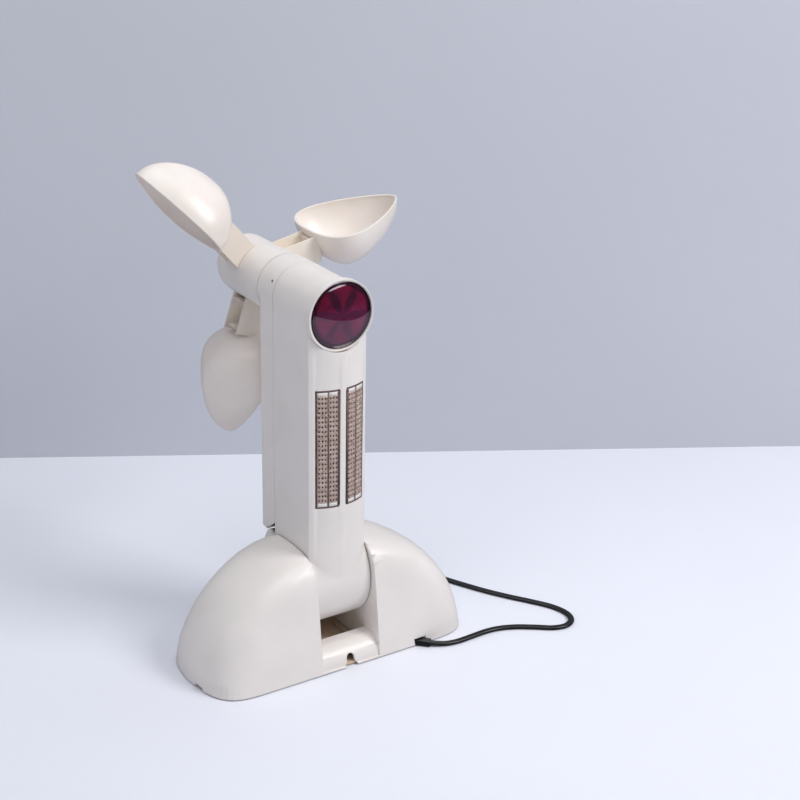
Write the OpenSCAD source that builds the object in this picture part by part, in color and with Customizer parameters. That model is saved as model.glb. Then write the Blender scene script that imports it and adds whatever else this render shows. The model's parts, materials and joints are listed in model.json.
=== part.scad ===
// Boot dryer: a warm-air column that tilts between the two lobes of its base, with a lamp at
// the front of its head and a three-cup rotor on a drum behind it.
// Millimetres. X runs along the base, -Y is the front and +Z is up.
// The origin is on the floor, in the middle of the base, under the tilt axis.

/* [Base] */
// Half the length of the base
base_half_len = 141; // [135:1:155]
// Half the depth of the base at the floor
base_half_depth = 58; // [56:0.5:62]
// How far the middle of the base lies before the tilt axis
base_forward = 8; // [6:0.5:10]
// Height of the lobes
lobe_h = 114.5; // [110:0.5:120]
// Half the length of the level ridge along the lobes' top
ridge_half = 6; // [4:1:20]
// How far the front and back walls lean in from floor to top
base_lean = 14; // [10:0.5:18]
// Wall thickness of the base shell
base_wall = 3; // [2.4:0.1:3.6]
// Width of the slot that the column stands in
slot_w = 62; // [61.6:0.1:63]
// Height of the bridge that joins the lobes
bridge_h = 21; // [18:0.5:23]
// Radius of the bridge's front top edge
bridge_round = 18; // [12:1:19]
// Height of the rubber feet under the shell
foot_lift = 1.2; // [0.8:0.1:2]

/* [Tilt] */
// Height of the tilt axis above the floor
tilt_z = 76; // [72:0.5:80]
// Radius of the column's round lower end
barrel_r = 49; // [46:0.5:50]
// Radius of the pivot pins
pivot_r = 8; // [6:0.5:9]
// Radial clearance of each running fit
run_clear = 0.06; // [0.03:0.01:0.1]

/* [Column] */
// Width of the column and diameter of its head
col_w = 60; // [58:0.5:60.8]
// How far behind the tilt axis the column's back lies
col_back = 52.8; // [50:0.2:56]
// How far before the tilt axis the corners of the bowed front lie
col_corner = 37; // [34:0.5:39]
// How far the bowed front stands out from its corners
col_bow = 10.5; // [8:0.5:12]
// Wall thickness of the column's housings
col_wall = 2.6; // [2:0.1:3]
// Height of the head's centre line
head_z = 342; // [325:1:355]
// Height of the rear cover's lower edge
cover_z = 108; // [107:0.5:112]
// Depth of the rear cover's side walls
cover_depth = 28; // [24:0.5:30]

/* [Grilles] */
// Height of the lower end of the grilles
grille_z = 160; // [150:1:175]
// Height of each grille panel
grille_h = 115; // [100:1:120]
// Distance from the middle of the column to a grille's inner edge
grille_in = 3.5; // [3:0.1:5]
// Distance from the middle of the column to a grille's outer edge
grille_out = 25; // [23:0.5:25.5]
// Rows of slots in each grille
grille_rows = 23; // [12:1:26]
// Height of one slot
slot_gap = 2.4; // [1.5:0.1:3]

/* [Lamp] */
// Radius of the lens
lens_r = 31; // [29:0.5:31.5]
// How far the lens domes forward
lens_dome = 7.5; // [4:0.5:10]
// Radius of the bezel round the lens
bezel_r = 33; // [32:0.5:34]

/* [Rotor] */
// Radius of the drum that carries the arms
drum_r = 28.5; // [26:0.5:29.5]
// Length of the drum
drum_len = 98; // [92:1:104]
// Length of the drum's rounded back end
drum_round = 28; // [20:1:30]
// Distance of the arms' middle plane behind the tilt axis
arm_y = 105.3; // [103:0.5:110]
// Width of an arm along the drum
arm_w = 25; // [20:0.5:28]
// Reach of an arm from the rotor's axis
arm_reach = 62; // [55:1:66]
// Angle of the first arm above level at rest
arm_angle = 11.3; // [0:0.1:30]
// Height of a cup's rim plane over its arm's radius line
rim_over = 18; // [15:0.5:20]
// Distance of a cup's inner end from the rotor's axis
cup_in = 58.4; // [56:0.2:62]
// Distance of a cup's tip from the rotor's axis
cup_tip = 161.2; // [150:0.2:165]
// Half the width of a cup
cup_half_w = 48.7; // [44:0.1:50]
// Depth of a cup
cup_deep = 45; // [38:1:50]
// Wall thickness of a cup
cup_wall = 2.4; // [2:0.1:3]
// Radius of the rotor's shaft
shaft_r = 4; // [3:0.5:5]

/* [Cord] */
// Width of the flat twin cord
cord_w = 6; // [5:0.5:7]
// Thickness of the flat twin cord
cord_t = 3.6; // [3:0.1:4]

/* [Hidden] */

seat_gap = 0.3;
fine = 96;
medium = 48;
small = 24;
slot_half = slot_w / 2;
col_half = col_w / 2;
head_r = col_half;
cavity_r = barrel_r + 6;
front_y = -col_corner - col_bow;
bow_r = (col_half * col_half + col_bow * col_bow) / (2 * col_bow);
bow_y = front_y + bow_r;
cover_y = col_back - cover_depth;
seat_y = -col_corner - 0.5;
drum_y = col_back + 2;
drum_end = drum_y + drum_len;
base_front = -base_forward - base_half_depth;
base_back = base_half_depth - base_forward;
bridge_back = base_front + 28;
well_back = 26;
foot_x = base_half_len - 29;
screw_x = base_half_len - 49;
foot_xy = [[-foot_x, -46], [-foot_x, 28], [foot_x, -46], [foot_x, 28], [0, 0]];
screw_xy = [[-screw_x, -50], [-screw_x, 34], [screw_x, -50], [screw_x, 34]];
block_x = slot_half + 5;
block_w = 12;
ballast_in = block_x + block_w + 4;
ballast_out = base_half_len - 33;
sleeve_w = 8.6;
fan_z = 140;
heater_z = grille_z + 30;
screw_top_z = head_z - 42;
screw_low_z = cover_z + 22;
cord_exit = [78, -66, 4];
cord_turn = -45;
cord_route = [[68, -56, 4.4], [73, -61, 4.2], [78, -66, 4], [84, -71.5, 3.5], [91, -76.5, 2.8],
    [100, -80, 2.1], [112, -81.5, 1.9], [128, -81, 1.9], [145, -80.5, 1.9], [160, -83, 1.9],
    [175, -89.5, 1.9], [190, -99.5, 1.9], [204, -109.5, 1.9], [218, -112.5, 1.9], [229, -106, 1.9],
    [233, -93, 1.9], [229, -76, 1.9], [218, -57, 1.9], [204, -36, 1.9], [191, -14, 1.9],
    [180, 8, 1.9], [170, 30, 1.9], [161, 54, 1.9], [152, 78, 1.9], [143, 100, 1.9],
    [136, 118, 1.9], [134, 132, 1.9]];
coil_at = [95, 118];
coil_mid_r = 33;
coil_band = 12;
coil_h = 11;
tail_route = [[95, 154, 1.9], [84, 155, 1.9], [72, 153, 1.9], [60, 147, 1.9], [50, 139.5, 1.9],
    [42, 133, 1.9], [34.9, 128.1, 1.9]];
plug_at = [22.6, 121.1];
plug_turn = 210;

// Cylinder whose axis runs along +Y from start.
module rod_y(start, length, r, facets = fine) {
    translate([0, start, 0]) rotate([-90, 0, 0]) cylinder(h = length, r = r, $fn = facets);
}

// Cylinder whose axis runs along +X from start.
module rod_x(start, length, r, facets = fine) {
    translate([start, 0, 0]) rotate([0, 90, 0]) cylinder(h = length, r = r, $fn = facets);
}

// Closed skin over a stack of rings, lowest ring first.
module loft(rings) {
    around = len(rings[0]);
    high = len(rings);
    polyhedron(
        points = [for (ring = rings) each ring],
        faces = concat(
            [[for (i = [0:around - 1]) i]],
            [[for (i = [0:around - 1]) high * around - 1 - i]],
            [for (k = [0:high - 2]) for (i = [0:around - 1])
                let (j = (i + 1) % around)
                [k * around + i, (k + 1) * around + i, (k + 1) * around + j, k * around + j]]));
}

// ---------- base ----------

// Plan of the base at height share h: a flat front, bowed ends and round corners.
function base_plan(h, inset, steps) =
    let (half_len = ridge_half + (base_half_len - ridge_half) * sqrt(1 - h * h) - inset,
        half_deep = (base_half_depth - base_lean * h) * sqrt(1 - pow(h, 14)) - inset,
        end_power = 2 / (12 - 5 * h))
    [for (i = [0:steps - 1])
        let (a = 360 * i / steps, c = cos(a), s = sin(a))
        [half_len * sign(c) * pow(abs(c), end_power), half_deep * s - base_forward]];

// The two lobes as one loaf-shaped dome, set in by inset on every side but the floor.
module base_dome(inset, steps, levels) {
    top_angle = inset > 0 ? 80 : 88;
    loft([for (k = [0:levels])
        let (h = sin(top_angle * k / levels), z = foot_lift + h * (lobe_h - foot_lift - inset))
        [for (p = base_plan(h, inset, steps)) [p[0], p[1], z]]]);
}

// What is cut away between the lobes: all above the bridge and the well behind it.
module base_slot() {
    round_y = base_front + 2 + bridge_round;
    translate([-slot_half, base_front - 1, bridge_h])
        cube([slot_w, 1 - base_front, lobe_h]);
    translate([0, 0, tilt_z]) rod_x(-slot_half, slot_w, cavity_r);
    translate([-slot_half, 0, 38]) cube([slot_w, base_back + 1, lobe_h]);
    translate([-slot_half, bridge_back, -1]) cube([slot_w, well_back - bridge_back, tilt_z]);
    difference() {
        translate([-slot_half, base_front - 1, bridge_h - bridge_round])
            cube([slot_w, round_y - base_front + 1, bridge_round + 1]);
        translate([0, round_y, bridge_h - bridge_round])
            rod_x(-slot_half - 1, slot_w + 2, bridge_round);
    }
}

// Hollow under the bridge.
module bridge_hollow() {
    roof = bridge_h - base_wall;
    round_y = base_front + 2 + bridge_round;
    translate([-slot_half, round_y, 0])
        cube([slot_w, bridge_back - base_wall - round_y, roof]);
    intersection() {
        translate([0, round_y, bridge_h - bridge_round])
            rod_x(-slot_half, slot_w, bridge_round - base_wall);
        translate([-slot_half, base_front, 0])
            cube([slot_w, round_y - base_front + 1, bridge_h]);
    }
    translate([-slot_half, base_front + 2 + base_wall, 0])
        cube([slot_w, 16, bridge_h - bridge_round]);
}

// Keyhole-shaped cord rest in the front of the bridge.
module keyhole() {
    translate([0, base_front - 2, 0]) {
        translate([0, 0, 8.5]) rod_y(0, 14, 4.2, small);
        translate([-4.2, 0, 0]) cube([8.4, 14, 8.5]);
        translate([0, 14, 0]) rotate([90, 0, 0])
            linear_extrude(14) polygon([[-8, 0], [8, 0], [4.2, 5.5], [-4.2, 5.5]]);
    }
}

module base_shell() {
    color("ivory") difference() {
        union() {
            difference() {
                base_dome(0, 56, 14);
                intersection() {
                    base_dome(base_wall, 40, 8);
                    union() {
                        translate([-200, -100, 0])
                            cube([200 - slot_half - base_wall, 200, 200]);
                        translate([slot_half + base_wall, -100, 0])
                            cube([200 - slot_half - base_wall, 200, 200]);
                    }
                }
                translate([-200, -100, -1]) cube([400, 200, 1 + foot_lift]);
            }
            translate([0, 0, tilt_z]) {
                rod_x(-slot_half - 16, 16, 15, medium);
                rod_x(slot_half, 16, 15, medium);
            }
            for (p = screw_xy)
                translate([p[0], p[1], foot_lift + 2.8]) cylinder(h = 26, r = 5, $fn = small);
        }
        base_slot();
        bridge_hollow();
        keyhole();
        translate([0, 0, tilt_z]) rod_x(-slot_half - 17, slot_w + 34, pivot_r);
        for (p = screw_xy)
            translate([p[0], p[1], 0]) cylinder(h = 20, r = 1.6, $fn = small);
        for (side = [-1, 1])
            translate([side * base_half_len, -25, foot_lift + 1.2])
                cube([18, 12, 3.6], center = true);
        translate([cord_exit[0], cord_exit[1], 0]) rotate([0, 0, cord_turn])
            translate([-11, -sleeve_w / 2 - seat_gap, 0])
                cube([20, sleeve_w + 2 * seat_gap, 7.6]);
        translate([-200, -100, foot_lift - 10]) cube([400, 200, 10]);
        intersection() {
            base_dome(base_wall, 40, 8);
            translate([-200, -100, 0]) cube([400, 200, foot_lift + 2.8]);
        }
    }
}

module base_plate() {
    color("gainsboro") difference() {
        translate([0, 0, foot_lift + 0.2]) linear_extrude(2.4)
            polygon(base_plan(0, base_wall + 0.8, 40));
        for (p = screw_xy)
            translate([p[0], p[1], 0]) cylinder(h = 9, r = 2, $fn = small);
        translate([cord_exit[0] - 18, base_front, 0]) cube([26, 26, 9]);
        for (i = [-5:-3], side = [-1, 1])
            translate([side * i * 8 - 1.5, -20, 0]) cube([3, 30, 9]);
    }
}

module ballast(side) {
    plate_top = foot_lift + 2.8;
    color("dimgray") difference() {
        translate([side * (ballast_in + ballast_out) / 2, -base_forward, plate_top + 7])
            cube([ballast_out - ballast_in, 70, 14], center = true);
        for (y = [-30, 14])
            translate([side * (ballast_in + 18), y, 0]) cylinder(h = 40, r = 3, $fn = small);
    }
}

module foot(i) {
    color("dimgray") translate([foot_xy[i][0], foot_xy[i][1], 0])
        cylinder(h = foot_lift + 0.2, r = 7, $fn = medium);
}

module base_screw(i) {
    color("silver") translate([screw_xy[i][0], screw_xy[i][1], foot_lift - 0.6])
        difference() {
            union() {
                cylinder(h = 0.8, r = 3.4, $fn = medium);
                cylinder(h = 18, r = 1.6, $fn = small);
            }
            translate([-3.4, -0.4, -1]) cube([6.8, 0.8, 1.4]);
        }
}

// Shoulder pin that carries one side of the column.
module pivot_pin(side) {
    color("silver") translate([0, 0, tilt_z]) mirror([side < 0 ? 1 : 0, 0, 0]) difference() {
        union() {
            rod_x(col_half - 6, slot_half - col_half + 22, pivot_r, medium);
            rod_x(slot_half + 16, 2.4, pivot_r + 4, medium);
        }
        rod_x(col_half, slot_half, 3, small);
    }
}

module tilt_washer(side) {
    color("dimgray") translate([0, 0, tilt_z]) mirror([side < 0 ? 1 : 0, 0, 0]) difference() {
        rod_x(col_half + 0.2, slot_half - col_half - 0.2, 17, medium);
        rod_x(col_half - 1, slot_half - col_half + 2, pivot_r, medium);
    }
}

module terminal_block() {
    color("white") difference() {
        translate([block_x, -16, foot_lift + 2.6]) cube([block_w, 30, 11]);
        for (y = [-11, -1, 9])
            translate([block_x + block_w / 2, y, foot_lift + 6])
                cylinder(h = 9, r = 2, $fn = small);
    }
}

// Tapered sleeve, anchored inside the front wall by its flange.
module strain_relief() {
    color("dimgray") translate([cord_exit[0], cord_exit[1], 0]) rotate([0, 0, cord_turn])
        difference() {
            union() {
                translate([-18.5, -7, 2]) cube([5, 14, 5]);
                hull() {
                    translate([-14, -sleeve_w / 2, 2]) cube([1, sleeve_w, 5]);
                    translate([8, -3.8, 1.1]) cube([1, 7.6, 4.6]);
                }
            }
            hull() {
                translate([-19.5, -cord_w / 2 - 0.1, 2.6]) cube([1, cord_w + 0.2, cord_t + 0.1]);
                translate([9, -cord_w / 2 - 0.1, 1.5]) cube([1, cord_w + 0.2, cord_t + 0.1]);
            }
        }
}

// ---------- column ----------

// Plan of the column in front of the seam, set in by inset.
module front_plan(inset) {
    intersection() {
        translate([-col_half + inset, front_y + inset]) square([col_w - 2 * inset, 120]);
        translate([0, bow_y]) circle(r = bow_r - inset, $fn = fine * 2);
        translate([-col_half, front_y]) square([col_w, cover_y - front_y - seat_gap / 2]);
    }
}

module front_block(inset) {
    translate([0, 0, tilt_z]) linear_extrude(head_z - tilt_z) front_plan(inset);
    intersection() {
        translate([0, 0, head_z]) linear_extrude(head_r) front_plan(inset);
        translate([0, 0, head_z]) rod_y(front_y, 120, head_r - inset);
    }
}

module grille_window(side) {
    translate([side > 0 ? grille_in : -grille_out, front_y - 1, grille_z])
        cube([grille_out - grille_in, 16, grille_h]);
}

module column_front() {
    color("ivory") difference() {
        union() {
            front_block(0);
            intersection() {
                translate([0, 0, tilt_z]) rod_x(-col_half, col_w, barrel_r);
                union() {
                    translate([-50, -60, 0]) cube([100, 200, cover_z - seat_gap]);
                    translate([-50, -60, 0]) cube([100, 60 + cover_y - seat_gap / 2, 200]);
                }
            }
        }
        difference() {
            front_block(col_wall);
            translate([-50, -60, tilt_z]) cube([100, 6 + 60 + front_y, 3]);
        }
        translate([-col_half + 3, -100, 0]) intersection() {
            translate([0, 100, tilt_z]) rod_x(0, col_w - 6, barrel_r - col_wall);
            union() {
                cube([100, 100 + cover_y + 3, 200]);
                cube([100, 200, cover_z - 3]);
            }
        }
        translate([-col_half + 3, cover_y - 8, cover_z - 12]) cube([col_w - 6, 21, 30]);
        for (side = [-1, 1]) grille_window(side);
        translate([0, 0, head_z]) {
            rod_y(front_y - 5, seat_y - front_y + 5, bezel_r + seat_gap);
            rod_y(front_y - 5, 20, lens_r - 6);
        }
        translate([0, 0, tilt_z]) rod_x(-col_half - 1, col_w + 2, pivot_r + run_clear);
    }
}

// Plan of the rear cover with its rounded back corners, set in by inset.
module rear_plan(inset, corner = 7) {
    reach = col_back - inset;
    intersection() {
        union() {
            translate([-col_half + inset, -200]) square([col_w - 2 * inset, 200 + reach - corner]);
            for (side = [-1, 1])
                translate([side * (col_half - inset - corner), reach - corner])
                    circle(r = corner, $fn = medium);
            translate([-col_half + inset + corner, 0])
                square([col_w - 2 * inset - 2 * corner, reach]);
        }
        translate([-col_half, cover_y + seat_gap / 2]) square([col_w, 100]);
    }
}

module rear_block(inset, low, corner) {
    translate([0, 0, low]) linear_extrude(head_z - low) rear_plan(inset, corner);
    translate([0, 0, head_z])
        rod_y(cover_y + seat_gap / 2, cover_depth - inset - seat_gap / 2, head_r - inset);
}

module column_rear() {
    color("ivory") difference() {
        union() {
            rear_block(0, cover_z, 7);
            translate([0, 0, head_z]) rod_y(col_back - 1, 2.2, head_r - 0.3);
        }
        difference() {
            rear_block(col_wall, cover_z + col_wall, 4.4);
            translate([0, 0, head_z]) rod_y(col_back - 12, 20, 11, medium);
        }
        translate([0, 0, tilt_z]) rod_x(-col_half - 1, col_w + 2, barrel_r + 1);
        translate([0, 0, head_z]) rod_y(col_back - 14, 30, 7, medium);
        translate([-col_half - 1, 31.6, 356]) rotate([0, 90, 0])
            cylinder(h = 10, r = 1.5, $fn = small);
        for (z = [screw_top_z, screw_low_z])
            translate([0, 0, z]) rod_y(col_back - 6, 10, 1.8 + run_clear, small);
        for (row = [0:9], side = [-1, 1])
            translate([side * 11 - 8, col_back - 6, 150 + row * 7]) cube([16, 12, 3]);
    }
}

// One bowed grille panel with its frame, spine and slots.
module grille(side) {
    width = grille_out - grille_in - 0.4;
    left = side > 0 ? grille_in + 0.2 : -grille_out + 0.2;
    spine = 2.2;
    frame = 1.8;
    field = (width - 2 * frame - spine) / 2;
    pitch = (grille_h - 8) / grille_rows;
    color("tan") difference() {
        translate([0, 0, grille_z + 0.2]) linear_extrude(grille_h - 0.4) intersection() {
            difference() {
                translate([0, bow_y]) circle(r = bow_r - 0.4, $fn = fine * 2);
                translate([0, bow_y]) circle(r = bow_r - 2, $fn = fine * 2);
            }
            translate([left, front_y - 1]) square([width, 20]);
        }
        for (row = [0:grille_rows - 1], column = [0, 1])
            translate([left + frame + column * (field + spine), front_y - 1,
                grille_z + 4 + row * pitch + (pitch - slot_gap) / 2])
                cube([field, 16, slot_gap]);
    }
    color("ivory") for (z = [grille_z + 0.2, grille_z + grille_h - 3.4], column = [0, 1])
        intersection() {
            translate([left + frame + column * (field + spine), front_y - 1, z])
                cube([field, 16, 3.2]);
            difference() {
                translate([0, bow_y, 0]) cylinder(h = 400, r = bow_r + 0.3, $fn = fine * 2);
                translate([0, bow_y, 0]) cylinder(h = 400, r = bow_r - 1.2, $fn = fine * 2);
            }
        }
}

// ---------- lamp ----------

module lens_bezel() {
    color("ivory") translate([0, 0, head_z]) difference() {
        rod_y(seat_y - 6.5, 6.5, bezel_r);
        rod_y(seat_y - 10, 7.5, lens_r + 0.1);
        rod_y(seat_y - 10, 20, lens_r - 4);
    }
}

module lens() {
    dome_r = (lens_r * lens_r + lens_dome * lens_dome) / (2 * lens_dome);
    color("purple", 0.8) translate([0, seat_y - 2.5, head_z]) rotate([90, 0, 0])
        rotate_extrude($fn = fine) difference() {
            intersection() {
                translate([0, lens_dome - dome_r + 3]) circle(r = dome_r, $fn = fine * 2);
                square([lens_r, lens_dome + 3]);
            }
            intersection() {
                translate([0, lens_dome - dome_r + 0.6]) circle(r = dome_r, $fn = fine * 2);
                square([lens_r - 2.4, lens_dome + 3]);
            }
        }
}

module lamp_reflector() {
    color("silver") translate([0, seat_y + 0.2, head_z]) rotate([-90, 0, 0])
        rotate_extrude($fn = medium)
            polygon([[24.6, 0], [22, 9], [15, 16], [7, 19], [7, 17.5], [14, 14.6], [20.6, 8.4],
                [23, 0]]);
}

module lamp_bulb() {
    color("white", 0.7) translate([0, seat_y + 9, head_z]) {
        sphere(r = 5.5, $fn = small);
        rod_y(0, 11, 4.5, small);
    }
}

module lamp_socket() {
    color("dimgray") translate([0, seat_y + 20.2, head_z]) {
        rod_y(0, 9, 6.6, small);
        translate([-head_r + col_wall + 0.4, 5, -4]) cube([col_w - 2 * col_wall - 0.8, 3, 8]);
    }
}

// ---------- air path ----------

module heater_cards() {
    color("tan") translate([0, 0, heater_z]) {
        translate([-19, -5.5, 0]) cube([38, 1, 59]);
        translate([-0.5, -24, 0]) cube([1, 38, 59]);
        for (z = [0, 58]) {
            translate([-22, -5.5, z]) cube([44, 1, 1.5]);
            translate([-0.5, -27, z]) cube([1, 44, 1.5]);
        }
        for (z = [0, 58])
            translate([0, -5, z]) difference() {
                cylinder(h = 1.5, r = 25, $fn = medium);
                translate([0, 0, -1]) cylinder(h = 4, r = 20.5, $fn = medium);
            }
        for (z = [0, 58], side = [-1, 1])
            translate([side > 0 ? 24 : -col_half + col_wall + 0.3, -9, z])
                cube([col_half - col_wall - 24.3, 8, 1.5]);
    }
}

// Nichrome helix wound on the cards' edges.
module heater_coil() {
    turns = 7;
    steps = 12;
    wire = 0.8;
    helix_r = 19.9;
    rise = 44 / (turns * steps);
    path = [for (i = [0:turns * steps])
        [for (k = [0:4])
            let (a = 360 * i / steps, r = helix_r + wire * cos(72 * k))
            [r * cos(a), r * sin(a), rise * i + wire * sin(72 * k)]]];
    count = len(path);
    color("silver") translate([0, -5, heater_z + 8]) polyhedron(
        points = [for (ring = path) each ring],
        faces = concat(
            [[for (k = [0:4]) 4 - k]],
            [[for (k = [0:4]) (count - 1) * 5 + k]],
            [for (i = [0:count - 2]) for (k = [0:4])
                let (j = (k + 1) % 5)
                [i * 5 + k, i * 5 + j, (i + 1) * 5 + j, (i + 1) * 5 + k]]));
}

module fan_bracket() {
    color("gainsboro") translate([0, 0, fan_z]) difference() {
        union() {
            translate([-col_half + col_wall + 0.2, -3, 0])
                cube([col_w - 2 * col_wall - 0.4, 6, 3]);
            cylinder(h = 3, r = 15, $fn = medium);
        }
        translate([0, 0, -1]) cylinder(h = 6, r = 4, $fn = small);
    }
}

module fan_motor() {
    color("dimgray") translate([0, 0, fan_z]) {
        translate([0, 0, -24]) cylinder(h = 24, r = 12, $fn = medium);
        cylinder(h = 9, r = 1.5, $fn = small);
    }
}

module fan_wheel() {
    color("white") translate([0, 0, fan_z + 5]) difference() {
        union() {
            cylinder(h = 14, r = 8, $fn = medium);
            intersection() {
                cylinder(h = 14, r = 22, $fn = medium);
                for (k = [0:5])
                    rotate([0, 0, 60 * k]) translate([5, 0, 7]) rotate([40, 0, 0])
                        translate([0, -0.7, -16]) cube([20, 1.4, 32]);
            }
        }
        translate([0, 0, -1]) cylinder(h = 6, r = 1.5 + run_clear, $fn = small);
    }
}

// ---------- rotor drive ----------

module gear_motor() {
    color("dimgray") translate([0, 0, head_z]) difference() {
        union() {
            rod_y(2, 16, 12, medium);
            rod_y(18, 21, 17, medium);
            translate([-27.1, 35.6, -8]) cube([54.2, 3.4, 10]);
        }
        rod_y(24, 20, shaft_r + run_clear, medium);
    }
}

module shaft_bush() {
    color("goldenrod") translate([0, 0, head_z]) difference() {
        rod_y(col_back - 13, 14, 7, medium);
        rod_y(col_back - 20, 30, shaft_r + run_clear, medium);
    }
}

module cover_screw(z) {
    color("silver") translate([0, 0, z]) {
        rod_y(col_back - 12, 12.2, 1.8, small);
        rod_y(col_back, 1.6, 3.6, small);
    }
}

// ---------- rotor ----------

module rotor_drum() {
    color("ivory") translate([0, drum_y, head_z]) rotate([-90, 0, 0]) difference() {
        rotate_extrude($fn = fine) difference() {
            union() {
                square([drum_r, drum_len - drum_round]);
                translate([12, 0]) square([drum_r - 12, 1]);
                intersection() {
                    translate([0, drum_len - drum_round])
                        scale([1, drum_round / drum_r]) circle(r = drum_r, $fn = fine);
                    square([drum_r, drum_len]);
                }
            }
            translate([9, -1]) square([drum_r - 9 - col_wall, drum_len - drum_round - 2]);
            translate([0, drum_len - 3.5]) square([9.3, 10]);
        }
        translate([0, 0, -1]) cylinder(h = drum_len + 2, r = shaft_r, $fn = medium);
    }
}

module rotor_shaft() {
    color("silver") translate([0, 0, head_z])
        rod_y(26, drum_end - 26, shaft_r, medium);
}

module drum_nut() {
    color("silver") translate([0, drum_end - 3.5, head_z]) difference() {
        rotate([-90, 0, 0]) cylinder(h = 3.2, r = 8, $fn = 6);
        rod_y(-1, 10, shaft_r, medium);
    }
}

// Turns a piece drawn along +X to its arm's direction.
module at_arm(i) {
    translate([0, arm_y, head_z]) rotate([0, -arm_angle - 120 * i, 0]) children();
}

module arm(i) {
    rib = 2.6;
    low = -11;
    high = 14.5;
    root = 22;
    color("antiquewhite") at_arm(i) difference() {
        union() {
            for (side = [-1, 1])
                translate([root, side > 0 ? arm_w / 2 - rib : -arm_w / 2, low])
                    cube([arm_reach - root, rib, high - low]);
            translate([root, -arm_w / 2, 1]) cube([arm_reach - root, arm_w, 2.4]);
            translate([arm_reach - 6, -arm_w / 2, low]) cube([2.4, arm_w, high - low - 3]);
            translate([drum_r + 2, -arm_w / 2, low]) cube([2, arm_w, high - low - 8]);
        }
        rod_y(-60, 120, drum_r + 0.1);
        cup_solid(0, 28, 7);
    }
}

// Rim outline of a cup: blunt at the hub end, tapering to a rounded tip.
function cup_ring(h, inset, steps) =
    let (wide = cup_in + 0.31 * (cup_tip - cup_in),
        middle = cup_in + 0.36 * (cup_tip - cup_in),
        shrink = pow(1 - pow(h, 1.8), 1 / 1.8),
        half_w = cup_half_w - inset)
    [for (i = [0:steps - 1])
        let (a = 360 * i / steps, c = cos(a), s = sin(a),
            p = c > 0 ? 2 / 1.36 : 2 / 2.7,
            reach = (c > 0 ? cup_tip - wide : wide - cup_in) - inset,
            x = wide + reach * sign(c) * pow(abs(c), p),
            y = half_w * sign(s) * pow(abs(s), p))
        [middle + (x - middle) * shrink, y * shrink]];

module cup_solid(inset, steps, levels) {
    loft([for (k = [levels:-1:0])
        let (h = sin(84 * k / levels), z = rim_over - h * (cup_deep - inset))
        [for (p = cup_ring(h, inset, steps)) [p[0], p[1], z]]]);
}

module cup(i) {
    color("antiquewhite") at_arm(i) difference() {
        cup_solid(0, 28, 7);
        translate([0, 0, 0.01]) cup_solid(cup_wall, 28, 6);
    }
}

// ---------- cord ----------

// Flat oval tube along a level route.
module flat_tube(route) {
    last = len(route) - 1;
    rings = [for (i = [0:last])
        let (a = route[max(0, i - 1)], b = route[min(last, i + 1)], d = b - a,
            side = [-d[1], d[0], 0] / norm([d[0], d[1]]))
        [for (k = [0:7])
            route[i] + side * cord_w / 2 * cos(45 * k + 22.5) * 1.08
                + [0, 0, cord_t / 2 * sin(45 * k + 22.5) * 1.08]]];
    polyhedron(
        points = [for (ring = rings) each ring],
        faces = concat(
            [[for (k = [0:7]) k]],
            [[for (k = [0:7]) last * 8 + 7 - k]],
            [for (i = [0:last - 1]) for (k = [0:7])
                let (j = (k + 1) % 8)
                [i * 8 + k, (i + 1) * 8 + k, (i + 1) * 8 + j, i * 8 + j]]));
}

module cord() {
    color("black") flat_tube(cord_route);
}

module cord_tail() {
    color("black") flat_tube(tail_route);
}

module cord_coil() {
    color("black") translate([coil_at[0], coil_at[1], 0.1])
        rotate_extrude($fn = medium)
            translate([coil_mid_r - coil_band / 2, 0]) square([coil_band, coil_h]);
}

module plug_body() {
    color("black") translate([plug_at[0], plug_at[1], 0]) rotate([0, 0, plug_turn])
        difference() {
            hull() {
                translate([-14, -4, 0.2]) cube([1, 8, 5]);
                translate([-2, -11, 0.2]) cube([14, 22, 13]);
            }
            translate([4, -12.5, 4]) cube([4, 3, 6]);
            translate([4, 9.5, 4]) cube([4, 3, 6]);
        }
}

module plug_blades() {
    color("silver") translate([plug_at[0], plug_at[1], 0]) rotate([0, 0, plug_turn])
        for (side = [-1, 1])
            translate([12, side * 6.35 - 0.75, 3.4]) cube([17, 1.5, 6.3]);
}

base_shell();
base_plate();
ballast(-1);  // ballast_left
ballast(1);  // ballast_right
foot(0);  // foot_1
foot(1);  // foot_2
foot(2);  // foot_3
foot(3);  // foot_4
foot(4);  // foot_5
base_screw(0);  // base_screw_1
base_screw(1);  // base_screw_2
base_screw(2);  // base_screw_3
base_screw(3);  // base_screw_4
pivot_pin(-1);  // pivot_pin_left
pivot_pin(1);  // pivot_pin_right
tilt_washer(-1);  // tilt_washer_left
tilt_washer(1);  // tilt_washer_right
terminal_block();
strain_relief();
column_front();
column_rear();
grille(-1);  // grille_left
grille(1);  // grille_right
lens_bezel();
lens();
lamp_reflector();
lamp_bulb();
lamp_socket();
heater_cards();
heater_coil();
fan_bracket();
fan_motor();
fan_wheel();
gear_motor();
shaft_bush();
cover_screw(screw_top_z);  // cover_screw_top
cover_screw(screw_low_z);  // cover_screw_low
rotor_drum();
rotor_shaft();
drum_nut();
arm(0);  // arm_1
arm(1);  // arm_2
arm(2);  // arm_3
cup(0);  // cup_1
cup(1);  // cup_2
cup(2);  // cup_3
cord();
cord_coil();
cord_tail();
plug_body();
plug_blades();
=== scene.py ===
"""Looks of the warm-air column: camera, cord, finishes and the pieces that need finer shapes."""

import json
import math

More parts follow.
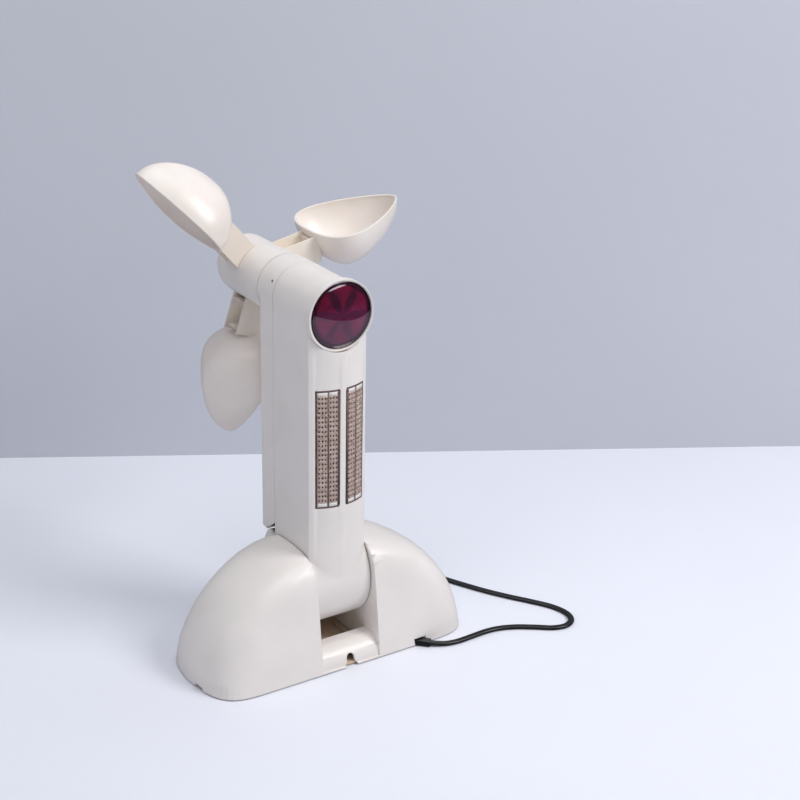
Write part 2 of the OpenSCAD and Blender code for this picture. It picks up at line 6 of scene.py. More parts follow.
import bmesh
import bpy
import numpy as np
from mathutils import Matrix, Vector

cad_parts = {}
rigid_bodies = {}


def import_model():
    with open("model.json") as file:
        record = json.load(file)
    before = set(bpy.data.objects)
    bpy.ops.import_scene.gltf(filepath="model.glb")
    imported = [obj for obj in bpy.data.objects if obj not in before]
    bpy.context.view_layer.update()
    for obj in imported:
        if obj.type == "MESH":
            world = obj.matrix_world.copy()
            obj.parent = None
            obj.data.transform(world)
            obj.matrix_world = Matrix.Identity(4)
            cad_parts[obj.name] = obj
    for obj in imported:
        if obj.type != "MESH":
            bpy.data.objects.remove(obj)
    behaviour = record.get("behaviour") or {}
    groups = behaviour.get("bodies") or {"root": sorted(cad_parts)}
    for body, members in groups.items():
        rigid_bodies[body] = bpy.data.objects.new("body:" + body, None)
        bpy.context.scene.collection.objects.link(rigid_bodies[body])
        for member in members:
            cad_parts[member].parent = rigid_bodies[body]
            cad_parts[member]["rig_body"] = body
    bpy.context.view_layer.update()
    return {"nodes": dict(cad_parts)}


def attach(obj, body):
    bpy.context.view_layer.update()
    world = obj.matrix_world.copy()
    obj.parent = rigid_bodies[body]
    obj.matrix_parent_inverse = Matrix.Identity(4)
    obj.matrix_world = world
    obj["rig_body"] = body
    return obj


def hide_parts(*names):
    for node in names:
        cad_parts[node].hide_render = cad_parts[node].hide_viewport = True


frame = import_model()
nodes = frame["nodes"]
scene = bpy.context.scene
MM = 0.001

# Sizes repeated from the part's source, in millimetres.
HEAD_Z = 342
FRONT_Y = -47.5
BOW_R = 48.107
BOW_Y = FRONT_Y + BOW_R
LENS_SEAT = -37.5
ARM_Y = 105.3
ARM_ANGLE = 11.3
# Cups: how far the rim lies over the arm's axis, where the cup starts and ends along the arm,
# then its half width, depth and wall.
RIM_OVER = 18
CUP_IN = 58.4
CUP_TIP = 161.2
CUP_HALF_W = 48.7
CUP_DEEP = 45
CUP_WALL = 2.4


# ---------- camera ----------

# Fitted to the photograph: azimuth, elevation and roll in degrees, lens and sensor in mm, place
# in metres.
CAMERA_TURN = (-33.92, 22.553, 1.09)
CAMERA_LENS = 80.1
CAMERA_SENSOR = 36
CAMERA_PLACE = (-0.7711, -1.2841, 0.8698)


def add_camera():
    """The photograph's own viewpoint."""
    az, el, roll = (math.radians(a) for a in CAMERA_TURN)
    back = Vector((math.sin(az) * math.cos(el), -math.cos(az) * math.cos(el), math.sin(el)))
    right = Vector((0, 0, 1)).cross(back).normalized()
    up = back.cross(right)
    turned_right = right * math.cos(roll) + up * math.sin(roll)
    turned_up = up * math.cos(roll) - right * math.sin(roll)
    data = bpy.data.cameras.new("camera")
    data.lens = CAMERA_LENS
    data.sensor_width = CAMERA_SENSOR
    data.clip_end = 30
    camera = bpy.data.objects.new("camera", data)
    columns = (turned_right, turned_up, back, Vector(CAMERA_PLACE))
    for c, column in enumerate(columns):
        for r in range(3):
            camera.matrix_world[r][c] = column[r]
    scene.collection.objects.link(camera)
    scene.camera = camera


add_camera()


# ---------- finishes ----------

def linear(r, g, b):
    """0-255 screen colour to the linear values that sockets take."""
    shares = (c / 255 for c in (r, g, b))
    curved = (c / 12.92 if c <= 0.04045 else ((c + 0.055) / 1.055) ** 2.4 for c in shares)
    return tuple(curved) + (1,)


def finish(name, light, dark, rough=(0.35, 0.5), patch=18, grain=1600, depth=0.00002,
           edge=0.0, **shader):
    """Procedural finish: colour drifts between two tones, roughness varies and a fine
    grain lifts the surface. depth and edge, the radius of hard corners, are in metres.
    patch and grain are noise scales, and shader sets sockets of the Principled BSDF."""
    material = bpy.data.materials.new(name)
    material.use_nodes = True
    tree = material.node_tree
    new, link = tree.nodes.new, tree.links.new
    principled = tree.nodes["Principled BSDF"]
    place = new("ShaderNodeTexCoord")
    drift = new("ShaderNodeTexNoise")
    drift.inputs["Scale"].default_value = patch
    drift.inputs["Detail"].default_value = 5
    link(place.outputs["Object"], drift.inputs["Vector"])
    tone = new("ShaderNodeValToRGB")
    tone.color_ramp.elements[0].position = 0.35
    tone.color_ramp.elements[1].position = 0.65
    tone.color_ramp.elements[0].color = linear(*dark)
    tone.color_ramp.elements[1].color = linear(*light)
    link(drift.outputs["Fac"], tone.inputs["Fac"])
    link(tone.outputs["Color"], principled.inputs["Base Color"])
    fine = new("ShaderNodeTexNoise")
    fine.inputs["Scale"].default_value = grain
    fine.inputs["Detail"].default_value = 3
    link(place.outputs["Object"], fine.inputs["Vector"])
    spread = new("ShaderNodeMapRange")
    spread.inputs["To Min"].default_value = rough[0]
    spread.inputs["To Max"].default_value = rough[1]
    link(drift.outputs["Fac"], spread.inputs["Value"])
    link(spread.outputs["Result"], principled.inputs["Roughness"])
    bump = new("ShaderNodeBump")
    bump.inputs["Strength"].default_value = 0.6
    bump.inputs["Distance"].default_value = depth
    link(fine.outputs["Fac"], bump.inputs["Height"])
    if edge:
        corner = new("ShaderNodeBevel")
        corner.samples = 4
        corner.inputs["Radius"].default_value = edge
        link(corner.outputs["Normal"], bump.inputs["Normal"])
    link(bump.outputs["Normal"], principled.inputs["Normal"])
    for socket, value in shader.items():
        principled.inputs[socket.replace("_", " ")].default_value = value
    return material


HOUSING = finish("housing_plastic", (242, 236, 231), (236, 230, 224), (0.3, 0.42), edge=0.001,
                 Coat_Weight=0.12, Coat_Roughness=0.25)
CUP = finish("cup_plastic", (243, 236, 229), (236, 227, 218), (0.3, 0.42), edge=0.0008,
             Subsurface_Weight=0.15, Subsurface_Scale=0.003, Coat_Weight=0.15,
             Coat_Roughness=0.2)
ARM = finish("arm_plastic", (243, 233, 220), (236, 224, 208), (0.32, 0.45), edge=0.0006)
# Painted shade: the base plate seen down the well is tinted warm tan for the shade and warm
# bounce light that fall there.
WELL_SHADE_TAN = finish("well_painted_shade", (232, 206, 178), (216, 188, 160), (0.4, 0.55), edge=0.0004)
WHITE = finish("white_plastic", (238, 236, 230), (230, 227, 219), (0.35, 0.5), edge=0.0004)
BRONZE = finish("grille_bronze", (226, 204, 190), (178, 152, 142), (0.3, 0.5), patch=420,
                grain=5000, Metallic=0.25)
# Partly painted shade: the border and spine take the frame's darker bronze, deepened for the
# shade in the recess round the panel.
BRONZE_FRAME_AND_SHADE = finish("grille_frame_and_painted_shade", (128, 104, 98), (100, 80, 78), (0.4, 0.6), patch=200,
                     grain=5000, Metallic=0.3)
LENS = finish("lens_glass", (178, 84, 132), (162, 70, 120), (0.02, 0.04), patch=40, grain=300,
              depth=0.000002, Transmission_Weight=0.95, IOR=1.25, Coat_Weight=1.0,
              Coat_Roughness=0.045, Coat_IOR=2.7)
# Painted shade: the dome's thick rim is coloured near black for the dark ring that the glass edge
# shows.
LENS_EDGE_SHADE = finish("lens_edge_painted_shade", (34, 8, 22), (22, 6, 16), (0.06, 0.14), patch=60,
                   Coat_Weight=1.0, Coat_Roughness=0.04)
LENS_CORE = finish("lens_core", (178, 38, 90), (128, 26, 68), (0.75, 0.9), patch=160,
                   Specular_IOR_Level=0.03)
LENS_STAR = finish("lens_star", (24, 14, 22), (14, 9, 14), (0.75, 0.9), patch=120,
                   Specular_IOR_Level=0.03)
REFLECTOR = finish("reflector", (214, 212, 208), (190, 188, 186), (0.12, 0.22), Metallic=1.0)
BULB = finish("bulb_glass", (240, 238, 230), (226, 222, 212), (0.05, 0.15),
              Transmission_Weight=0.6)
BLACK = finish("black_plastic", (36, 36, 38), (26, 26, 28), (0.4, 0.6), edge=0.0004)
CORD = finish("cord_black", (22, 22, 25), (14, 14, 17), (0.28, 0.42), patch=60, grain=900,
              Coat_Weight=0.2, Coat_Roughness=0.3)
RUBBER = finish("rubber_foot", (48, 47, 46), (36, 35, 35), (0.7, 0.85), grain=1200,
                depth=0.00005)
STEEL = finish("steel", (196, 197, 200), (168, 169, 173), (0.2, 0.38), patch=80, grain=3000,
               edge=0.0002, Metallic=1.0)
BRASS = finish("brass", (206, 176, 104), (182, 148, 80), (0.2, 0.4), patch=90, Metallic=1.0)
MICA = finish("mica", (176, 158, 128), (150, 130, 100), (0.4, 0.6), patch=220)
NICHROME = finish("nichrome", (150, 142, 136), (118, 108, 104), (0.3, 0.5), patch=400,
                  Metallic=1.0)
CAST = finish("cast_weight", (98, 98, 100), (78, 78, 80), (0.6, 0.8), patch=90, grain=700,
              depth=0.00012, Metallic=0.6)

FINISH_OF = {
    "base_plate": WELL_SHADE_TAN, "ballast_left": CAST, "ballast_right": CAST, "strain_relief": CORD,
    "terminal_block": WHITE, "lens_bezel": HOUSING, "lamp_reflector": REFLECTOR,
    "lamp_bulb": BULB, "lamp_socket": BLACK, "heater_cards": MICA, "heater_coil": NICHROME,
    "fan_bracket": WHITE, "fan_motor": STEEL, "fan_wheel": WHITE, "gear_motor": STEEL,
    "shaft_bush": BRASS, "rotor_shaft": STEEL, "drum_nut": STEEL, "plug_blades": BRASS,
    "base_shell": HOUSING, "column_front": HOUSING, "column_rear": HOUSING,
    "rotor_drum": HOUSING, "arm_1": ARM, "arm_2": ARM, "arm_3": ARM, "plug_body": CORD,
    "grille_left": BRONZE, "grille_right": BRONZE, "lens": LENS, "cord": CORD,
    "cord_coil": CORD, "cord_tail": CORD, "cup_1": CUP, "cup_2": CUP, "cup_3": CUP,
}
for node_name, node_object in nodes.items():
    look = FINISH_OF.get(node_name)
    if look is None:
        look = RUBBER if node_name.startswith("foot") or "washer" in node_name else STEEL
    node_object.data.materials.clear()
    node_object.data.materials.append(look)


# ---------- mesh helpers ----------

def shade(mesh, flat_over):
    """Smooth shading but for edges sharper than flat_over degrees."""
    mesh.shade_smooth()
    mesh.set_sharp_from_angle(angle=math.radians(flat_over))


def clean(mesh, join_within=0.0, turn_out=False):
    """Join corners that lie within that many metres, and turn the faces outward."""
    work = bmesh.new()
    work.from_mesh(mesh)
    if join_within:
        bmesh.ops.remove_doubles(work, verts=work.verts, dist=join_within)
    if turn_out:
        bmesh.ops.recalc_face_normals(work, faces=work.faces)
    work.to_mesh(mesh)
    work.free()


def add_piece(name, points, faces, body, looks, face_look=None, flat_over=35):
    """New piece from points in millimetres, shaded smooth but for edges sharper than
    flat_over degrees."""
    mesh = bpy.data.meshes.new(name)
    mesh.from_pydata([tuple(MM * c for c in p) for p in points], [], faces)
    for look in looks:
        mesh.materials.append(look)
    if face_look is not None:
        mesh.polygons.foreach_set("material_index", face_look)
    clean(mesh, turn_out=True)
    shade(mesh, flat_over)
    piece = bpy.data.objects.new(name, mesh)
    scene.collection.objects.link(piece)
    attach(piece, body)
    return piece


def tube_faces(count, around, closed=False):
    """Quads between count rings of around points, with caps unless the run is closed."""
    faces = []
    for i in range(count if closed else count - 1):
        for k in range(around):
            j, n = (k + 1) % around, (i + 1) % count
            faces.append((i * around + k, i * around + j, n * around + j, n * around + k))
    if not closed:
        faces.append(tuple(reversed(range(around))))
        faces.append(tuple((count - 1) * around + k for k in range(around)))
    return faces


def smoothed(node, flat_over=32):
    """A CAD node's own faces with shared corners and soft shading, in the node's place."""
    piece = bpy.data.objects.new(node + "_skin", nodes[node].data.copy())
    clean(piece.data, join_within=0.00001)
    shade(piece.data, flat_over)
    scene.collection.objects.link(piece)
    even = piece.modifiers.new("even", "WEIGHTED_NORMAL")
    even.keep_sharp = True
    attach(piece, frame_body(node))
    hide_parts(node)
    return piece


def frame_body(node):
    """Name of the body that a CAD node belongs to."""
    return nodes[node]["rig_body"]


# ---------- cord ----------

CORD_ROUTE = [
    (68, -56, 4.4), (73, -61, 4.2), (78, -66, 4), (84, -71.5, 3.5), (91, -76.5, 2.8),
    (100, -80, 2.1), (112, -81.5, 1.9), (128, -81, 1.9), (145, -80.5, 1.9), (160, -83, 1.9),
    (175, -89.5, 1.9), (190, -99.5, 1.9), (204, -109.5, 1.9), (218, -112.5, 1.9),
    (229, -106, 1.9), (233, -93, 1.9), (229, -76, 1.9), (218, -57, 1.9), (204, -36, 1.9),
    (191, -14, 1.9), (180, 8, 1.9), (170, 30, 1.9), (161, 54, 1.9), (152, 78, 1.9),
    (143, 100, 1.9), (136, 118, 1.9), (134, 132, 1.9)]
TAIL_ROUTE = [
    (95, 154, 1.9), (84, 155, 1.9), (72, 153, 1.9), (60, 147, 1.9), (50, 139.5, 1.9),
    (42, 133, 1.9), (34.9, 128.1, 1.9)]
# How far apart the points along the finished cord lie
CORD_STEP = 2.4
COIL_AT = (95, 118)
# Radius and height of each turn of the coil, from the last laid to the first
COIL_PLACES = [(41.4, 1.9), (42, 12.6), (30, 9.1), (36, 9.1), (36, 5.5), (30, 5.5), (30, 1.9),
               (36, 1.9)]
# Degrees round the coil where the cord joins and leaves it, over which it climbs on at first
# and steps to the next place later, and between two of its points
COIL_START = 19.75
COIL_END = 90
CLIMB_ARC = 84
STEP_ARC = 42
COIL_STEP = 7.5


def coil_points():
    """Turns of the coil, each moving on to the next place over a short arc."""
    turns = len(COIL_PLACES) - 3
    total = COIL_END - COIL_START + 360 * turns
    at = CLIMB_ARC + STEP_ARC
    stay = (total - at - STEP_ARC * turns) / (turns + 1)
    moves = [(0, CLIMB_ARC, 0, 1), (CLIMB_ARC, at, 1, 2)]
    for k in range(turns):
        at += stay
        moves.append((at, at + STEP_ARC, k + 2, k + 3))
        at += STEP_ARC
    path = []
    angle = 0
    while angle <= total + 0.01:
        low, high, a, b = [move for move in moves if move[0] <= angle][-1]
        share = min(1, (angle - low) / (high - low))
        share = share * share * (3 - 2 * share)
        radius, height = (p + (q - p) * share for p, q in zip(COIL_PLACES[a], COIL_PLACES[b]))
        turn = math.radians(COIL_START + angle)
        path.append((COIL_AT[0] + radius * math.cos(turn), COIL_AT[1] + radius * math.sin(turn),
                     height))
        angle += total / round(total / COIL_STEP)
    return path


def rounded_run(points, step):
    """Points at even steps along a smooth curve through the given ones."""
    p = np.array(points, float)
    p = np.vstack([2 * p[0] - p[1], p, 2 * p[-1] - p[-2]])
    out = []
    for i in range(1, len(p) - 2):
        a, b, c, d = p[i - 1:i + 3]
        for t in np.arange(0, 1, 0.1):
            out.append(0.5 * (2 * b + (c - a) * t + (2 * a - 5 * b + 4 * c - d) * t * t
                              + (3 * b - a - 3 * c + d) * t ** 3))
    out.append(p[-2])
    out = np.array(out)
    along = np.concatenate([[0], np.cumsum(np.linalg.norm(np.diff(out, axis=0), axis=1))])
    at = np.linspace(0, along[-1], int(along[-1] / step) + 1)
    return np.stack([np.interp(at, along, out[:, k]) for k in range(3)], axis=1)


def twin_profile():
    """Two round cores side by side with a groove between them, in mm."""
    core, apart = 1.75, 1.25
    ring = []
    for a in range(-110, 111, 22):
        ring.append((apart + core * math.cos(math.radians(a)), core * math.sin(math.radians(a))))
    for a in range(70, 291, 22):
        ring.append((-apart + core * math.cos(math.radians(a)), core * math.sin(math.radians(a))))
    return ring


def add_cord():
    """The flat twin cord in one run: out of the base, round its hook, through the coil to
    the plug."""
    path = rounded_run(CORD_ROUTE + coil_points()[1:] + TAIL_ROUTE[1:], CORD_STEP)
    ring = twin_profile()
    points = []
    for i, p in enumerate(path):
        d = path[min(i + 1, len(path) - 1)] - path[max(i - 1, 0)]
        d /= np.linalg.norm(d)
        side = np.array([-d[1], d[0], 0]) / math.hypot(d[0], d[1])
        over = np.cross(d, side)
        points += [tuple(p + side * x + over * y) for x, y in ring]
    piece = add_piece("mains_cord", points, tube_faces(len(path), len(ring)), "base", [CORD],
                      flat_over=80)
    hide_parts("cord", "cord_coil", "cord_tail")
    return piece, [tuple(MM * c for c in p) for p in path]


def add_tie():
    """Band that holds the coil's turns together, opposite the plug's end."""
    turn, reach_out = math.radians(250), 33
    half_w, half_deep, low, high = 6.9, 4, 0.05, 11.6
    squareness, wall = 0.45, 0.5
    out = np.array([math.cos(turn), math.sin(turn), 0])
    along = np.array([-math.sin(turn), math.cos(turn), 0])
    centre = np.array([COIL_AT[0], COIL_AT[1], 0]) + reach_out * out
    outline = []
    for a in range(0, 360, 12):
        c, s = math.cos(math.radians(a)), math.sin(math.radians(a))
        x = half_w * math.copysign(abs(c) ** squareness, c)
        z = (low + high) / 2 + (high - low) / 2 * math.copysign(abs(s) ** squareness, s)
        outline.append((x, z))
    points = []
    for reach, at in ((0, -half_deep), (0, half_deep), (-wall, half_deep), (-wall, -half_deep)):
        for x, z in outline:
            grow = 1 + reach / half_w
            points.append(tuple(centre + out * x * grow + along * at
                                + np.array([0, 0, z * (1 + reach / high) - reach / 2])))
    return add_piece("cord_tie", points, tube_faces(4, len(outline), closed=True), "base",
                     [BLACK], flat_over=40)


cord_piece, cord_path = add_cord()
tie_piece = add_tie()
plug_piece = smoothed("plug_body", 40)
plug_round = plug_piece.modifiers.new("round", "BEVEL")
plug_round.width = 0.0012
plug_round.segments = 3
plug_round.angle_limit = math.radians(30)


# ---------- housings ----------

# The shell's slot meets its lobes at a low angle, and that edge has to stay crisp.
smoothed("base_shell", flat_over=18)
for node_name in ("column_front", "column_rear", "rotor_drum", "lens_bezel"):
    smoothed(node_name)
for node_name in ("arm_1", "arm_2", "arm_3"):
    smoothed(node_name)


# ---------- cups ----------

# Where a cup is widest and where its bottom lies, as shares of its length from the arm
WIDE_SHARE = 0.31
MIDDLE_SHARE = 0.36
# Superellipse powers of its section, of its rim toward the tip and of its rim toward the arm
SECTION_POWER = 1.8
TIP_POWER = 1.36
ARM_POWER = 2.7
# Degrees of the quarter turn that the section follows from rim to bottom
SECTION_SWEEP = 86
# Rolled rim: share of the wall out from the outer edge, and lift over the rim in mm
ROLLED_RIM = ((0.06, 0.5), (-0.12, 0.9), (-0.5, 1.1), (-0.88, 0.9), (-1.06, 0.4))


def cup_outline(h, inset, steps):
    """Rim curve of a cup at depth share h, pulled in by inset."""
    wide = CUP_IN + WIDE_SHARE * (CUP_TIP - CUP_IN)
    middle = CUP_IN + MIDDLE_SHARE * (CUP_TIP - CUP_IN)
    shrink = max(0, 1 - h ** SECTION_POWER) ** (1 / SECTION_POWER)
    half_w = CUP_HALF_W - inset
    ring = []
    for i in range(steps * 4):
        a = 2 * math.pi * i / (steps * 4)
        c, s = math.cos(a), math.sin(a)
        p = 2 / TIP_POWER if c > 0 else 2 / ARM_POWER
        reach = (CUP_TIP - wide if c > 0 else wide - CUP_IN) - inset
        x = wide + reach * math.copysign(abs(c) ** p, c)
        y = half_w * math.copysign(abs(s) ** p, s)
        ring.append((middle + (x - middle) * shrink, y * shrink))
    ring = np.array(ring)
    closed = np.vstack([ring, ring[:1]])
    along = np.concatenate([[0], np.cumsum(np.linalg.norm(np.diff(closed, axis=0), axis=1))])
    at = np.linspace(0, along[-1], steps, endpoint=False)
    even = np.stack([np.interp(at, along, closed[:, k]) for k in range(2)], axis=1)
    for _ in range(6):
        even = 0.5 * even + 0.25 * (np.roll(even, 1, 0) + np.roll(even, -1, 0))
    return even


def add_cup(i):
    """Egg-shaped scoop with a thin wall, a rolled rim and a deeper middle."""
    steps, levels = 112, 26
    rings = []
    for k in range(levels + 1):
        h = math.sin(math.radians(SECTION_SWEEP * (levels - k) / levels))
        ring = cup_outline(h, 0, steps)
        rings.append([(x, y, RIM_OVER - h * CUP_DEEP) for x, y in ring])
    rim = cup_outline(0, 0, steps)
    inner_rim = cup_outline(0, CUP_WALL, steps)
    out = rim - inner_rim
    for share, lift in ROLLED_RIM:
        rings.append([(x + ox * share, y + oy * share, RIM_OVER + lift)
                      for (x, y), (ox, oy) in zip(rim, out)])
    for k in range(levels + 1):
        h = math.sin(math.radians(SECTION_SWEEP * k / levels))
        ring = cup_outline(h, CUP_WALL, steps)
        rings.append([(x, y, RIM_OVER - h * (CUP_DEEP - CUP_WALL)) for x, y in ring])
    turn = math.radians(ARM_ANGLE + 120 * i)
    c, s = math.cos(turn), math.sin(turn)
    points = [(x * c - z * s, ARM_Y + y, HEAD_Z + x * s + z * c) for ring in rings
              for x, y, z in ring]
    name = f"cup_{i + 1}"
    piece = add_piece(name + "_scoop", points, tube_faces(len(rings), steps), "rotor", [CUP],
                      flat_over=60)
    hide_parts(name)


for arm_number in range(3):
    add_cup(arm_number)


# ---------- grilles ----------

# Thickness of stamped and moulded sheets, in metres
SHEET = 0.0008


def on_bow(x, z, lift):
    """Point on the bowed front at that place across, lift mm out from its face."""
    r = BOW_R + lift
    return (x * r / BOW_R, BOW_Y - math.sqrt(BOW_R ** 2 - x ** 2) * r / BOW_R, z)


def add_grille(side):
    """Stamped bronze panel: border and spine in a darker bronze that is partly painted recess
    shade, two fields of diamond openings and a pale bar at both ends of each field."""
    low_x, high_x, low_z, high_z = 3.7, 24.8, 160.2, 274.8
    border, spine, bar = 1.5, 1.5, 3.6
    bar_lift, cross_lift = 0.1, 0.35
    hole_w, hole_h = 0.62, 0.6
    rows, columns = 23, 3
    field = (high_x - low_x - 2 * border - spine) / 2
    points, faces, looks = [], [], []

    def add_face(corners, look):
        at = len(points)
        points.extend(corners)
        faces.append(tuple(range(at, at + len(corners))))
        looks.append(look)

    def strip(x0, x1, z0, z1, look, lift=0.0):
        count = max(1, round((x1 - x0) / 2))
        for k in range(count):
            a = x0 + (x1 - x0) * k / count
            b = x0 + (x1 - x0) * (k + 1) / count
            add_face([on_bow(side * a, z0, lift), on_bow(side * b, z0, lift),
                      on_bow(side * b, z1, lift), on_bow(side * a, z1, lift)], look)

    strip(low_x, high_x, low_z, low_z + border, 1)
    strip(low_x, high_x, high_z - border, high_z, 1)
    strip(low_x, low_x + border, low_z + border, high_z - border, 1)
    strip(high_x - border, high_x, low_z + border, high_z - border, 1)
    middle = low_x + border + field
    strip(middle, middle + spine, low_z + border, high_z - border, 1)
    for f in range(2):
        x0 = low_x + border + f * (field + spine)
        bottom, top = low_z + border + bar, high_z - border - bar
        strip(x0, x0 + field, low_z + border, bottom, 2, bar_lift)
        strip(x0, x0 + field, top, high_z - border, 2, bar_lift)
        wide, high = field / columns, (top - bottom) / rows
        for row in range(rows):
            for column in range(columns):
                cx = x0 + wide * (column + 0.5)
                cz = bottom + high * (row + 0.5)
                hw, hh = wide / 2, high / 2
                hole = [(hole_w * hw, 0), (0, hole_h * hh), (-hole_w * hw, 0),
                        (0, -hole_h * hh)]
                edge = [(hw, 0), (0, hh), (-hw, 0), (0, -hh)]
                corner = [(hw, hh), (-hw, hh), (-hw, -hh), (hw, -hh)]
                for k in range(4):
                    n = (k + 1) % 4
                    ring = [(hole[k], 0.0), (edge[k], 0.0), (corner[k], cross_lift),
                            (edge[n], 0.0), (hole[n], 0.0)]
                    add_face([on_bow(side * (cx + x), cz + z, lift) for (x, z), lift in ring],
                             0)
    name = "grille_right" if side > 0 else "grille_left"
    piece = add_piece(name + "_panel", points, faces, "column",
                      [BRONZE, BRONZE_FRAME_AND_SHADE, HOUSING], looks, flat_over=20)
    clean(piece.data, join_within=0.00002, turn_out=True)
    thick = piece.modifiers.new("thick", "SOLIDIFY")
    thick.thickness = SHEET
    thick.offset = -1
    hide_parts(name)


for grille_side in (-1, 1):
    add_grille(grille_side)


# ---------- lens ----------

# The bezel's floor lies before the head's seat, and the lens's flange stands on that floor.
BEZEL_FLOOR = 2.5
LENS_FLANGE = 3
LENS_FRONT = LENS_SEAT - BEZEL_FLOOR - LENS_FLANGE
# Radius of the pinhole on the axis that a turned outline starts and ends with
AXIS_R = 0.05


def revolved(name, outline, looks, face_look, steps=128, flat_over=40):
    """Piece turned round the head's axis from (radius, y) points. face_look gives the look
    of each band between two of them."""
    points = []
    for r, y in outline:
        for k in range(steps):
            a = 2 * math.pi * k / steps
            points.append((r * math.cos(a), y, HEAD_Z + r * math.sin(a)))
    faces = tube_faces(len(outline), steps)
    bands = len(outline) - 1
    which = [face_look(i) for i in range(bands) for _ in range(steps)]
    which += [0] * (len(faces) - len(which))
    return add_piece(name, points, faces, "column", looks, which, flat_over)


def add_lens_dome():
    """Deep wine-red dome with a thin dark edge, painted shade for its thick rim seen through the
    glass. It lets light through to the ribs.
    """
    dome, reach = 7.5, 31
    clear_r, hollow_r, seat_r = 29.6, 27, 27.2
    glass, skirt, rings = 2.4, 2.9, 24
    dome_r = (reach ** 2 + dome ** 2) / (2 * dome)

    def dome_y(r):
        return LENS_FRONT - dome + dome_r - math.sqrt(dome_r ** 2 - r ** 2)

    outline = [(AXIS_R, LENS_FRONT - dome)]
    outline += [(clear_r * k / rings, dome_y(clear_r * k / rings)) for k in range(1, rings + 1)]
    edge_from = len(outline) - 1
    last = outline[-1][1]
    outline += [(30.2, last), (30.7, last + 0.3), (reach, last + 1), (reach, LENS_FRONT + skirt),
                (seat_r, LENS_FRONT + skirt)]
    edge_to = len(outline) - 1
    outline += [(hollow_r * k / rings, dome_y(hollow_r * k / rings) + glass)
                for k in range(rings - 1, 0, -1)]
    outline.append((AXIS_R, LENS_FRONT - dome + glass))
    piece = revolved("lens_dome", outline, [LENS, LENS_EDGE_SHADE],
                     lambda i: 1 if edge_from <= i < edge_to else 0)
    piece.visible_shadow = False
    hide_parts("lens")


def add_lens_ribs():
    """Star of dark ribs behind the dome, each set back toward the lamp."""
    core_y, steps = LENS_FRONT - 0.4, 60
    rings = ((4, -2.2), (9, -1.4), (16, -0.8), (22, -0.4), (26.5, 0.6))
    dark_over = (0.05, 0.3, 0.6, 0.93)
    spokes, spoke_turn, rise, full_rise_r = 6, 0.6, 1.5, 12

    def spoke(a):
        return 0.5 + 0.5 * math.cos(spokes * a + spoke_turn)

    points, faces, looks = [], [], []
    for r, lift in rings:
        for k in range(steps):
            a = 2 * math.pi * k / steps
            y = core_y + lift + rise * spoke(a) * min(1, r / full_rise_r)
            points.append((r * math.cos(a), y, HEAD_Z + r * math.sin(a)))
    for i, limit in enumerate(dark_over):
        for k in range(steps):
            j = (k + 1) % steps
            faces.append((i * steps + k, i * steps + j, (i + 1) * steps + j,
                          (i + 1) * steps + k))
            looks.append(1 if spoke(2 * math.pi * (k + 0.5) / steps) > limit else 0)
    faces.append(tuple(range(steps)))
    looks.append(1)
    piece = add_piece("lens_ribs", points, faces, "column", [LENS_CORE, LENS_STAR],
                      looks, flat_over=50)
    thick = piece.modifiers.new("thick", "SOLIDIFY")
    thick.thickness = SHEET


add_lens_dome()
add_lens_ribs()


# ---------- stage and light ----------

def plain(name, colour, rough):
    """Plain stage paint with a slight drift."""
    return finish(name, colour, tuple(c - 3 for c in colour), (rough, rough + 0.1), patch=2,
                  grain=400, depth=0.00001)


def stage_sheet(name, corners, look):
    """Flat sheet of the stage, not part of the object."""
    mesh = bpy.data.meshes.new(name)
    mesh.from_pydata(corners, [], [tuple(range(len(corners)))])
    mesh.materials.append(look)
    sheet = bpy.data.objects.new(name, mesh)
    scene.collection.objects.link(sheet)
    return sheet


def mirrored_only(sheet):
    """Hide the sheet from the camera and from diffuse light, and let it cast no shadow."""
    sheet.visible_camera = False
    sheet.visible_diffuse = False
    sheet.visible_shadow = False


# Level directions toward the front, where the lens looks, and along the table's edge
OUT = Vector((0.558, -0.83, 0))
ALONG = Vector((0.83, 0.558, 0))
# Two points on the wall's foot
WALL_LEFT = Vector((-0.1013, 0.5482, 0))
WALL_RIGHT = Vector((0.7327, 0.0824, 0))


def add_floor():
    """White floor, which the camera sees."""
    far = 9
    floor = stage_sheet("floor", [(-far, -far, 0), (far, -far, 0), (far, far, 0), (-far, far, 0)],
                        plain("floor_paint", (236, 238, 246), 0.75))
    floor.visible_glossy = False


def add_mirrored_table():
    """Table top that ends before the camera. The lens shows its edge."""
    near_left, near_right, back, half_w, under = 1.12, 0.5, 0.9, 1.6, -0.001
    corners = [OUT * near_left - ALONG * half_w, OUT * near_right + ALONG * half_w,
               ALONG * half_w - OUT * back, -ALONG * half_w - OUT * back]
    table = stage_sheet("floor_mirrored", [(c.x, c.y, under) for c in corners],
                        plain("table_paint", (236, 238, 246), 0.75))
    mirrored_only(table)


def add_mirrored_room():
    """Dark room past the table, which keeps the lens's upper part deep."""
    away, half_w, low, high = 3, 5, -3, 2.2
    corners = [(*(OUT * away + ALONG * w).xy, z) for w, z in
               ((-half_w, low), (half_w, low), (half_w, high), (-half_w, high))]
    room = stage_sheet("room_mirrored", corners, plain("room_paint", (40, 37, 42), 0.9))
    mirrored_only(room)
    room.visible_transmission = False


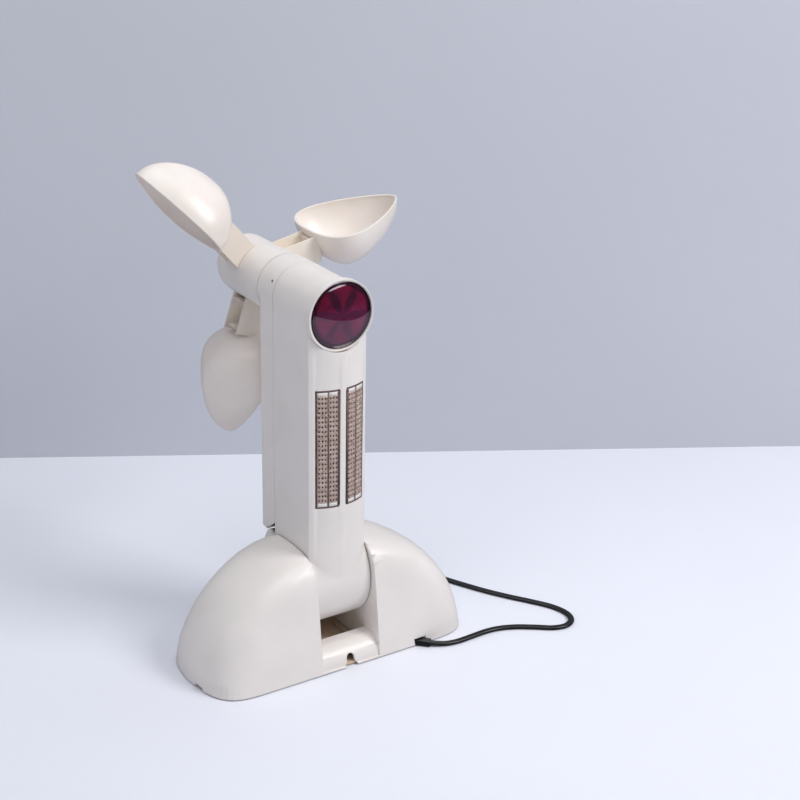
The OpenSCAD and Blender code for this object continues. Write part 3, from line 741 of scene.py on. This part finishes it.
def add_wall():
    """Pale blue-grey wall. It shows from its front only, and not in reflections."""
    reach, high = 8, 5
    run = (WALL_RIGHT - WALL_LEFT).normalized()
    a, b = WALL_LEFT - run * reach, WALL_RIGHT + run * reach
    paint = plain("wall_paint", (203, 206, 215), 0.8)
    tree = paint.node_tree
    side = tree.nodes.new("ShaderNodeNewGeometry")
    clear = tree.nodes.new("ShaderNodeBsdfTransparent")
    mix = tree.nodes.new("ShaderNodeMixShader")
    tree.links.new(side.outputs["Backfacing"], mix.inputs["Fac"])
    tree.links.new(tree.nodes["Principled BSDF"].outputs["BSDF"], mix.inputs[1])
    tree.links.new(clear.outputs["BSDF"], mix.inputs[2])
    tree.links.new(mix.outputs["Shader"], tree.nodes["Material Output"].inputs["Surface"])
    wall = stage_sheet("wall", [(*a.xy, 0), (*b.xy, 0), (*b.xy, high), (*a.xy, high)], paint)
    wall.visible_glossy = False


def add_light(name, place, aim, size, power, colour):
    """Rectangular light at place, facing aim, in metres and watts."""
    data = bpy.data.lights.new(name, "AREA")
    data.shape = "RECTANGLE"
    data.size, data.size_y = size
    data.energy = power
    data.color = colour
    lamp = bpy.data.objects.new(name, data)
    lamp.location = place
    lamp.rotation_euler = (Vector(aim) - Vector(place)).to_track_quat("-Z", "Y").to_euler()
    scene.collection.objects.link(lamp)


def add_lights():
    """Soft key from the right, a strip for the lens's streak, a top light and a low fill,
    in a dim grey world."""
    add_light("key", (1.1, -1.5, 1.9), (0, 0, 0.2), (1.0, 1.0), 31, (1.0, 1.0, 1.0))
    add_light("strip", (0.74, -1.74, 1.2), (0, 0, 0.34), (1.3, 0.14), 1.3, (1.0, 0.9, 1.0))
    add_light("top", (-0.3, -0.2, 2.3), (0, 0, 0.1), (1.6, 1.6), 18, (0.98, 0.99, 1.0))
    add_light("left_fill", (-2.2, -0.4, 1.1), (0, 0, 0.2), (1.4, 1.4), 3.2, (1.0, 0.96, 0.93))
    world = bpy.data.worlds.new("world")
    world.use_nodes = True
    tree = world.node_tree
    back = tree.nodes["Background"]
    back.inputs["Color"].default_value = linear(206, 209, 218)
    back.inputs["Strength"].default_value = 0.4
    scene.world = world
    scene.view_settings.view_transform = "Standard"


add_floor()
add_mirrored_table()
add_mirrored_room()
add_wall()
add_lights()
